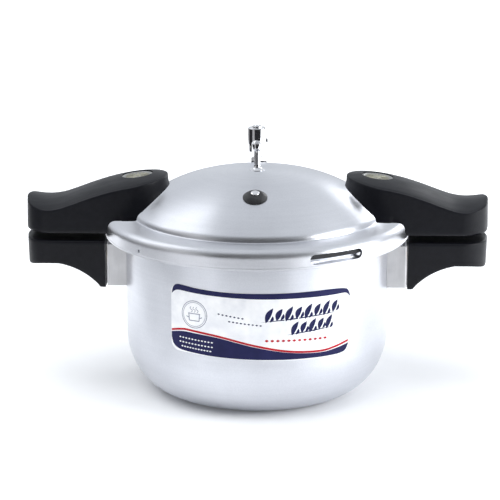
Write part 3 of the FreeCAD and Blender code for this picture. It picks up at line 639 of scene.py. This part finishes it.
def grip(name, edge, low, high, spread, low_round, high_round, levels, spine, keep_inner=False):
    """Handle built from rings round its plan: foot, drafted side, rounded edges and crowned faces.
    low and high give the heights of the two faces, spread the sideways growth at a height, and spine
    the stretch along x that the faces close on."""
    def spot(point, height, inset):
        x, y, nx, ny = point
        grow = spread(x, y, height) - inset
        if keep_inner and abs(nx) > 0.5 and x < spine[0] + 1:
            nx = 0
        return Vector((x + nx * grow, y + ny * grow, height))

    def face_ring(height, share, inset):
        ring = []
        for point in edge:
            base = spot(point, height(point[0], point[1]), inset)
            middle = Vector((min(max(base.x, spine[0]), spine[1]), 0))
            flat = Vector((base.x, base.y)).lerp(middle, share)
            ring.append(Vector((flat.x, flat.y, height(flat.x, flat.y))))
        return ring

    def rounding(height, radius, sign):
        """Rings round an edge, from the side towards the face."""
        rings = []
        for number in range(6):
            angle = math.pi / 2 * number / 5
            inset = radius * (1 - math.cos(angle))
            drop = sign * radius * (1 - math.sin(angle))
            rings.append([spot(point, height(point[0], point[1]) - drop, inset) for point in edge])
        return rings
    shares = [0.04, 0.1, 0.2, 0.35, 0.5, 0.65, 0.8, 0.9, 1.0]
    rings = [face_ring(low, share, low_round) for share in shares[::-1]]
    rings += rounding(low, low_round, -1)[::-1]
    for number in range(1, levels):
        share = number / levels
        ring = []
        for point in edge:
            start, end = low(point[0], point[1]) + low_round, high(point[0], point[1]) - high_round
            ring.append(spot(point, start + (end - start) * share, 0))
        rings.append(ring)
    rings += rounding(high, high_round, 1)
    rings += [face_ring(high, share, high_round) for share in shares]
    count = len(edge)
    points = [point for ring in rings for point in ring]
    faces = []
    for level in range(len(rings) - 1):
        for index in range(count):
            after = (index + 1) % count
            faces.append((level * count + index, level * count + after,
                          (level + 1) * count + after, (level + 1) * count + index))
    return new_mesh(name, points, faces)


def crest_height(x, y):
    return reading(CREST_LINE, x) - CROWN * (y / GRIP_HALF) ** 2


def upper_spread(x, y, height):
    """Draft of the sides, and the nose's small flare where it meets the dome."""
    drawn_from, flare, flare_height, flare_end = 188, 1.7, 2.2, GRIP_NOSE + 14
    spread = (drawn_from - height) * DRAFT
    reach = math.hypot(x, y)
    if reach < DOME_RADIUS + 12 and x < flare_end:
        above = max(0, height - dome_height(min(reach, DOME_RADIUS)))
        fade = min(1, (flare_end - x) / 20)
        spread += flare * fade * math.exp(-above / flare_height)
    return spread


def on_crest(piece):
    """Piece set where a badge sits, tilted with the handle's top."""
    piece.data.transform(Matrix.Translation((STUD_PLACE, 0, BADGE_HEIGHT))
                         @ Matrix.Rotation(math.radians(BADGE_TILT), 4, "Y"))
    return piece


def handle(made, body, node_name, turn):
    """Turns a handle to its side. It stays out of reflections: the dome shows none in the photo."""
    turned(made, turn)
    made.visible_glossy = False
    finished(made, body, "black_phenolic", PHENOLIC, node_name, crease=40)


def lid_grip(side, turn):
    made = grip(f"lid_grip_{side}", plan(nose=GRIP_NOSE), lambda x, y: GRIP_LOW.z, crest_height,
                upper_spread, low_round=2.2, high_round=1.0, levels=16,
                spine=(GRIP_NOSE - 6, GRIP_TIP - 20))
    seat = lathe("cutter", [(0, 130)] + lid_outside(gap=0.1), 360)
    hollow = prism("cutter", rounded([(133, -20, 3), (178, -20, 6), (178, 20, 6), (133, 20, 3)]), 130, 148)
    recess = on_crest(lathe("cutter", [(0, -1.5), (13.2, -1.5), (13.2, 0.4), (15.2, 6), (0, 6)], 96))
    cut(made, seat, hollow, recess)
    handle(made, "lid", f"lid_handle_{side}", turn)


def arch_height(x, y):
    """Underside of a lower handle: foot, arch, flat and a tip that droops."""
    foot, step = BASE_LOW.z, 0.5
    if x >= ARCH_START.x:
        past = max(0, x - DROOP_START)
        return ARCH_START.y - DROOP_RADIUS + math.sqrt(DROOP_RADIUS ** 2 - past ** 2)
    if x <= ARCH_END.x:
        return foot + (ARCH_END.y - foot) * min(max((x - ARCH_END.x + step) / step, 0), 1)
    middle = (ARCH_START + ARCH_END) / 2
    chord = ARCH_END - ARCH_START
    away = math.sqrt(ARCH_RADIUS ** 2 - (chord.length / 2) ** 2)
    centre = middle + Vector((-chord.y, chord.x)).normalized() * away
    return centre.y + math.sqrt(max(ARCH_RADIUS ** 2 - (x - centre.x) ** 2, 0))


def lower_spread(x, y, height):
    return (height - BASE_LOW.z) * DRAFT


def pot_grip(side, turn):
    made = grip(f"pot_grip_{side}", plan(inner=BASE_LOW.x), arch_height, lambda x, y: BASE_HIGH.z,
                lower_spread, low_round=1.8, high_round=1.8, levels=10,
                spine=(BASE_LOW.x + 1, GRIP_TIP - 20), keep_inner=True)
    handle(made, "pot", f"pot_handle_{side}", turn)


def badge(side, turn):
    """Dished disc with a raised rim and a plain sunburst in place of any mark."""
    disc = lathe(f"badge_disc_{side}", rounded([(0, -1.45), (13, -1.45), (13, 0, 0.5), (11.3, 0, 0.3),
                                                (10.9, -0.45, 0.2), (0, -0.3)], False, 30), 128)
    ray = [(3.4, -0.28), (9.6, -0.75), (9.9, 0), (9.6, 0.75), (3.4, 0.28)]
    rays = [turned(prism("ray", ray, -0.6, -0.22), number * 22.5) for number in range(16)]
    hub = lathe("hub", rounded([(0, -0.6), (2.6, -0.6), (2.6, -0.15, 0.2), (0, -0.1)], False, 30), 48)
    burst = joined(f"badge_sunburst_{side}", rays + [hub])
    finished(turned(on_crest(disc), turn), "lid", "badge_metal", BADGE_METAL, f"badge_{side}")
    finished(turned(on_crest(burst), turn), "lid", "badge_metal", GILT)


# ---------------------------------------------------------------- vent and weight
def vent_stem():
    """Vent tube with a flared foot on the dome and a knob that the weight sits on."""
    apex, inner, low = DOME_TOP + 0.05, DOME_TOP - 11, WEIGHT_LOW.z
    cone = [(6.3, apex + 0.9)]
    for number in range(1, 13):
        angle = math.radians(90 * number / 12)
        cone.append((2.7 + 3.6 * (1 - math.sin(angle)) ** 1.2, apex + 0.9 + 4.1 * (1 - math.cos(angle))))
    outline = [(1.2, inner), (3.3, inner), (4, inner + 0.8), (4, apex), (6.1, apex), *cone]
    outline += rounded([(2.7, low - 2), (2.7, low + 0.4, 0.8), (4.2, low + 2, 0.8), (4.2, low + 6.2, 2),
                        (1.9, low + 9.6, 0.3), (1.2, low + 8.6)], False, 15)
    made = lathe("vent_stem_chrome", outline, 96)
    made.visible_glossy = False     # like the handles
    finished(made, "lid", "chrome", CHROME, "vent_stem")


def weight():
    """Hollow regulator weight with an arched window in its side."""
    low, top, radius, bore, roof, half = WEIGHT_LOW.z, WEIGHT_TOP, 7.65, 5.1, 212.6, 4.2
    outline = rounded([(bore, low, 0.2), (radius, low, 0.5), (radius, top, 0.8), (1.7, top, 0.2),
                       (1.7, top - 3), (0.6, top - 3), (0.6, top - 4), (2.2, top - 4), (2.2, roof),
                       (bore, roof, 1.0)], step=18)
    made = lathe("weight_shell", outline, 128)
    arch = rounded([(-half, low - 2), (half, low - 2), (half, low + 10.4, 4.19), (-half, low + 10.4, 4.19)])
    cut(made, turned(facing_front(prism("cutter", arch, 3, 10)), WEIGHT_TURN))
    made.visible_glossy = False     # like the handles
    finished(made, "weight", "chrome", CHROME, "weight_body")


def weight_cap():
    top = WEIGHT_TOP
    outline = rounded([(0, top - 2.9), (1.65, top - 2.9), (1.65, top, 0.1), (4, top, 0.15),
                       (4, top + 1.5, 0.6), (1.6, top + 1.5, 0.2), (1.3, top + 1.1, 0.2), (0, top + 1.1)],
                      False, 15)
    finished(lathe("weight_top_cap", outline, 96), "weight", "chrome", CHROME, "weight_cap")


# ---------------------------------------------------------------- safety fittings
def safety_plug():
    cone = [(9.8 - 0.4 * number, 0.4 + 3.4 * math.sin(math.pi / 28 * number) ** 1.05)
            for number in range(1, 15)]
    outline = [(1.7, -6), (6.8, -6), (7.6, -5), (7.6, -3.2), (6.0, -3.2), (6.0, 0.02), (9.8, 0.02),
               (9.95, 0.12), (9.95, 0.28), *cone, (1.7, 3.8)]
    made = fitted(lathe("safety_plug_rubber", outline, 96), PLUG_PLACE, PLUG_LEAN)
    finished(made, "lid", "plug_rubber", PLUG_RUBBER, "safety_plug")


def indicator_pin():
    dome = [(3.5 * math.cos(math.radians(9 * number)), 4.2 + 1.1 * math.sin(math.radians(9 * number)))
            for number in range(10)]
    outline = [(0, -10.6), (2.3, -10.6), (2.6, -10.3), (2.6, -9.5), (1.3, -9.3), (1.3, 3.9), (3.3, 3.9),
               *dome, (0, 5.3)]
    made = fitted(lathe("indicator_pin_head", outline, 64), PLUG_PLACE, PLUG_LEAN)
    finished(made, "indicator", "chrome", CHROME, "indicator_pin")


for MAKE in (pot, lid_piece, gasket, vent_stem, weight, weight_cap, safety_plug, indicator_pin):
    MAKE()
for SIDE, TURN in (("right", 0), ("left", 180)):
    lid_grip(SIDE, TURN)
    pot_grip(SIDE, TURN)
    badge(SIDE, TURN)
    dress(f"bracket_{SIDE}", BRACKET_METAL)

CARRIED = {"bracket_rivets": RIVET_METAL, "pot_handle_screws": STEEL, "pot_handle_inserts": BRASS,
           "lid_handle_studs": RIVET_METAL, "lid_handle_screws": STEEL, "vent_washer": SEAL_RUBBER,
           "vent_nut": BRASS, "fuse_body": STEEL, "fuse_washer": SEAL_RUBBER, "fuse_nut": STEEL,
           "fuse_core": ALLOY, "weight_pin": STEEL, "weight_needle": STEEL}
for NAME, MATERIAL in CARRIED.items():
    dress(NAME, MATERIAL)
dress("front_label", FOIL)


# ---------------------------------------------------------------- label print
def wrapped(azimuth, height, radius):
    """Point on a cylinder round the pot; the azimuth is in degrees from the front towards +X."""
    angle = math.radians(azimuth)
    return (radius * math.sin(angle), -radius * math.cos(angle), height)


def around(azimuth):
    """Distance round the foil, in millimetres, of an azimuth."""
    return azimuth * DEGREE


def ribbon(name, first, second):
    """Thin print between two edges, each a list of (azimuth, height)."""
    low, high = FOIL_RADIUS - 0.05, FOIL_RADIUS + 0.03
    points, faces = [], []
    for one, two in zip(first, second):
        points += [wrapped(*one, high), wrapped(*two, high), wrapped(*two, low), wrapped(*one, low)]
    for index in range(len(first) - 1):
        here, there = 4 * index, 4 * index + 4
        for corner in range(4):
            after = (corner + 1) % 4
            faces.append((here + corner, there + corner, there + after, here + after))
    faces += [(0, 1, 2, 3), tuple(len(points) - 4 + corner for corner in (3, 2, 1, 0))]
    return new_mesh(name, points, faces)


def flat_ribbon(name, first, second):
    """The same between two edges of spots, which are (millimetres round the foil, height)."""
    return ribbon(name, *([(spot[0] / DEGREE, spot[1]) for spot in edge] for edge in (first, second)))


def along(points, azimuths):
    """A smooth edge through some points, read at even azimuths."""
    line = spline(points, 240)
    return [(azimuth, reading(line, azimuth)) for azimuth in azimuths]


def between(start, end, count):
    return [start + (end - start) * number / count for number in range(count + 1)]


def printed_piece(piece, material):
    finished(piece, "pot", "label_foil", material)


# Edges of the label's printed bands and red line: (azimuth, height)
BAND_TOP = [(-36.6, 105.1), (-35.8, 109.4), (-33.3, 112), (-25, 111), (-13.9, 110), (1.5, 109.5),
            (18, 109.2), (33.2, 108.8), (41.1, 107.1), (43.1, 104.6), (44.1, 100.2)]
BAND_LOW = [(-36.6, 103.5), (-34.9, 106.4), (-32.3, 107.4), (-25, 106.7), (-13.9, 105.9), (1.5, 105),
            (18, 104.5), (33.2, 103.8), (39.5, 103.6), (42, 102.9), (44.1, 99.4)]
LINE_TOP = [(-36.8, 74.1), (-32, 76), (-27.6, 76.3), (-14, 73.6), (1.5, 67), (15.2, 61.8), (28.7, 59.7),
            (36.1, 61.1), (43.2, 63.9)]
LINE_WIDTH = 1.75
FIELD_TOP = [(-36.9, 71.6), (-32, 73.4), (-27, 73.6), (-14, 71.5), (1.5, 64.9), (15.2, 59.9), (28.7, 57.6),
             (36, 58.6), (43.3, 60.9)]
FIELD_LOW = [(-36.9, 67.3), (-35.9, 61.8), (-32.7, 58.3), (-25, 56.9), (-14, 55.8), (8.9, 54.6),
             (33.6, 53.6), (39.9, 54.2), (42.1, 56.3), (43.3, 60.5)]


def label_bands():
    for name, top, low, material in (("label_top_band", BAND_TOP, BAND_LOW, NAVY),
                                     ("label_red_line", LINE_TOP, None, RED),
                                     ("label_lower_field", FIELD_TOP, FIELD_LOW, NAVY)):
        places = between(top[0][0], top[-1][0], 120)
        upper = along(top, places)
        lower = along(low, places) if low else [(azimuth, height - LINE_WIDTH) for azimuth, height in upper]
        printed_piece(ribbon(name, upper, lower), material)


def leaf(name, start, end, width, bow=0.18):
    """Pointed leaf between two spots."""
    run = end - start
    across = Vector((-run.y, run.x)).normalized()
    first, second = [], []
    for number in range(13):
        share = number / 12
        middle = start + run * share + across * bow * width * math.sin(math.pi * share)
        half = 0.5 * width * math.sin(math.pi * min(1, share * 1.02)) ** 0.8 + 0.02
        first.append(middle + across * half)
        second.append(middle - across * half)
    return flat_ribbon(name, first, second)


def leaf_row(name, start, end, count, length, width, material):
    """Row of slanted leaves, each with a small one beside it, above a thin stem."""
    start, end = Vector(start), Vector(end)
    pieces = []
    for number in range(count):
        root = start + (end - start) * (number + 0.5) / count
        lean = Vector((0.24, 0.5)) * length * (1 if number % 2 == 0 else 0.8)
        pieces.append(leaf("leaf", root - lean, root + lean, width, 0.22))
        side = root - lean + Vector((width * 0.75, 0.6))
        bud = Vector((width * 0.55, length * 0.42))
        pieces.append(leaf("leaf", side, side + bud, width * 0.55, -0.3))
    below = Vector((0, -length * 0.42))
    pieces.append(leaf("stem", start + Vector((-3, 0)) + below, end + below, 1.0, 0.5))
    printed_piece(joined(name, pieces), material)


def dots(name, start, end, count, size, material):
    """Row of small diamonds."""
    start, end = Vector(start), Vector(end)
    reach = (end - start).normalized() * size / 2
    pieces = []
    for number in range(count):
        middle = start + (end - start) * number / (count - 1)
        pieces.append(leaf("dot", middle - reach, middle + reach, size * 0.62, 0))
    printed_piece(joined(name, pieces), material)


def ring_line(middle, radius, thick, start=0, end=360):
    """Circle or arc drawn as a thin line."""
    edges = ([], [])
    for turn in between(start, end, 40):
        spoke = Vector((math.cos(math.radians(turn)), math.sin(math.radians(turn))))
        for edge, side in zip(edges, (1, -1)):
            edge.append(Vector(middle) + spoke * (radius + side * thick / 2))
    return flat_ribbon("line", *edges)


def bar_line(start, end, thick):
    """Straight thin line."""
    start, end = Vector(start), Vector(end)
    across = Vector((start.y - end.y, end.x - start.x)).normalized() * thick / 2
    spots = between(start, end, 8)
    return flat_ribbon("line", [spot + across for spot in spots], [spot - across for spot in spots])


def stew_pot_emblem():
    """Line drawing of a small pot with steam, inside a double ring."""
    x, z = around(-25.5), 89
    rim, rim_half, foot, foot_half = z + 0.6, 4.8, z - 5.2, 4.4
    pieces = [ring_line((x, z), 11.2, 0.6), ring_line((x, z), 9.9, 0.4),
              bar_line((x - 5.4, rim), (x + 5.4, rim), 0.7),
              bar_line((x - rim_half, rim), (x - foot_half, foot), 0.7),
              bar_line((x + rim_half, rim), (x + foot_half, foot), 0.7),
              bar_line((x - 4.5, foot), (x + 4.5, foot), 0.7)]
    for side in (-1, 1):
        pieces.append(ring_line((x + side * 5.6, z - 1.4), 1.2, 0.6, 90 - side * 100, 90 - side * 260))
    for shift in (-2.6, 0, 2.6):
        pieces.append(ring_line((x + shift, z + 3.0), 1.0, 0.5, -90, 90))
        pieces.append(ring_line((x + shift, z + 5.0), 1.0, 0.5, 90, 270))
    printed_piece(joined("label_emblem", pieces), GREY)


label_bands()
stew_pot_emblem()
leaf_row("label_sprig_long", (around(4.5), 91.2), (around(38), 94.6), count=8, length=12.2, width=4.4,
         material=NAVY)
leaf_row("label_sprig_short", (around(15.5), 79.6), (around(35), 82.4), count=5, length=11.4, width=4.3,
         material=NAVY)
dots("label_red_dots", (around(5.5), 70.6), (around(31), 69.2), count=12, size=3.1, material=RED)
dots("label_fine_dots_upper", (around(-14.5), 91.6), (around(-4.5), 88.9), count=7, size=2.0,
     material=NAVY)
dots("label_fine_dots_lower", (around(-10), 86.0), (around(3), 83.2), count=9, size=2.0, material=NAVY)
for ROW, LEFT, RIGHT, HEIGHT in ((1, -32.3, -17.5, 68.6), (2, -32.3, -17.5, 64.8), (3, -31.3, -18.2, 61.2)):
    dots(f"label_white_dots_{ROW}", (around(LEFT), HEIGHT), (around(RIGHT), HEIGHT - 1.3), count=11, size=1.9,
         material=WHITE)


# ---------------------------------------------------------------- stage, light and camera
def floor():
    """White paper floor that glows a little more away from the object."""
    bpy.ops.mesh.primitive_plane_add(size=14, location=(0, 0, 0))
    made = bpy.context.object
    made.name = "floor"
    material, tree, surface = shader("floor_paper", Roughness=0.8, Specular_IOR_Level=0.1,
                                     Emission_Color=(1, 1, 1, 1))
    fibre = grain(tree, 60)
    tree.links.new(blended(tree, fibre, (0.93, 0.93, 0.935), (0.95, 0.95, 0.955)),
                   surface.inputs["Base Color"])
    away = node(tree, "ShaderNodeVectorMath", {0: place_of(tree)}, operation="LENGTH").outputs["Value"]
    tree.links.new(graded(tree, away, 0.04, 0.65, 0.22, 1.2), surface.inputs["Emission Strength"])
    made.data.materials.append(material)


def soft_light(name, place, aim, size, power):
    """Cool area light at a place, in metres, turned towards an aim."""
    lamp = bpy.data.lights.new(name, "AREA")
    lamp.shape = "RECTANGLE"
    lamp.size, lamp.size_y = size
    lamp.energy = power
    lamp.color = (0.96, 0.98, 1.0)
    made = bpy.data.objects.new(name, lamp)
    made.location = place
    made.rotation_euler = (Vector(aim) - Vector(place)).to_track_quat("-Z", "Y").to_euler()
    bpy.context.scene.collection.objects.link(made)
    return made


def sky():
    """Room light: bright overhead and behind, dim in front, where the photographer stands."""
    back, dim, bright = math.radians(38), 0.22, 0.80
    world = bpy.data.worlds.new("studio")
    world.use_nodes = True
    tree = world.node_tree
    surface = tree.nodes["Background"]
    surface.inputs["Color"].default_value = (0.91, 0.95, 1.0, 1)
    heading = node(tree, "ShaderNodeTexCoord").outputs["Generated"]
    toward = (0, math.sin(back), math.cos(back))
    rise = node(tree, "ShaderNodeVectorMath", {0: heading, 1: toward}, operation="DOT_PRODUCT")
    tree.links.new(graded(tree, rise.outputs["Value"], dim, bright, 0.05, 0.6), surface.inputs["Strength"])
    bpy.context.scene.world = world


def reflection_card(name, corners, glow):
    """Card that shows only in reflections, such as the dark room in front of the table."""
    card = new_mesh(name, corners, [(0, 1, 2, 3)])
    card.data.transform(Matrix.Scale(MM, 4))
    material, tree, surface = shader(name, Base_Color=(0.005, 0.005, 0.006, 1), Roughness=1.0,
                                     Specular_IOR_Level=0.0, Emission_Strength=glow)
    tree.links.new(blended(tree, grain(tree, 3, 2), (0.9, 0.93, 1.0), (1.0, 0.97, 0.93)),
                   surface.inputs["Emission Color"])
    card.data.materials.append(material)
    card.visible_camera = card.visible_diffuse = card.visible_shadow = card.visible_transmission = False


# Upright cards round the table: name, the two ends of the foot in x and y, lowest, highest, glow
CARDS = [("dark_front", (-340, -590), (310, -590), 0, 900, 0.13),
         ("dark_low_front", (-420, -580), (310, -580), 0, 215, 0.02),
         ("dark_low_right", (310, -580), (570, -580), 70, 215, 0.02),
         ("light_left", (-560, -560), (-900, 50), 260, 800, 0.65),
         ("dark_low_left", (-420, -580), (-650, 290), 0, 215, 0.02),
         ("dim_left", (-350, -600), (-800, 350), 0, 260, 0.45),
         ("dim_back", (-800, 350), (-450, 1100), 0, 200, 0.4),
         ("dim_behind_left", (-40, 760), (-330, 700), 0, 150, 0.3),
         ("dim_behind_right", (40, 760), (330, 700), 0, 150, 0.3)]


def studio():
    sky()
    for name, start, end, low, high, glow in CARDS:
        reflection_card(name, [(*start, low), (*end, low), (*end, high), (*start, high)], glow)
    # Painted shade: black cards between the upper and lower handles that only reflections see. They keep the
    # lower handles' tops dark in the gap.
    for name, side in (("painted_shade_gap_left", -1), ("painted_shade_gap_right", 1)):
        gap = [(side * x, y, GAP_HEIGHT) for x, y in ((124, -31), (189, -31), (189, 31), (124, 31))]
        reflection_card(name, gap, 0)
    soft_light("key_right", (1.3, -0.35, 0.55), (0, 0, 0.05), (0.9, 0.7), 13.5)
    soft_light("box_left", (-1.2, 0.42, 1.5), (0, 0, 0.15), (1.2, 1.2), 4.4)
    soft_light("back_right", (1.3, 1.9, 0.9), (0, 0, 0.15), (1.0, 1.0), 10)
    wash = soft_light("wash", (-0.5, -0.45, 1.6), (-0.1, 0, 0), (1.5, 1.5), 20.5)
    wash.visible_glossy = False
    bpy.context.scene.view_settings.view_transform = "Standard"
    bpy.context.scene.view_settings.look = "None"


def camera():
    """Long lens from slightly above, aimed a little beside the middle of the object."""
    target, distance = Vector((0, 0, 0.09)), 1.6
    azimuth, elevation = math.radians(1.5), math.radians(15.86)
    shift_right, shift_up = -0.0060, 0.02497
    back = Vector((math.sin(azimuth) * math.cos(elevation), -math.cos(azimuth) * math.cos(elevation),
                   math.sin(elevation)))
    right = Vector((math.cos(azimuth), math.sin(azimuth), 0))
    up = back.cross(right)
    aim = target + right * shift_right + up * shift_up
    data = bpy.data.cameras.new("camera")
    data.lens, data.sensor_width = 136.33, 36
    made = bpy.data.objects.new("camera", data)
    made.location = target + back * distance
    made.rotation_euler = (aim - made.location).to_track_quat("-Z", "Y").to_euler()
    bpy.context.scene.collection.objects.link(made)
    bpy.context.scene.camera = made


floor()
studio()
camera()
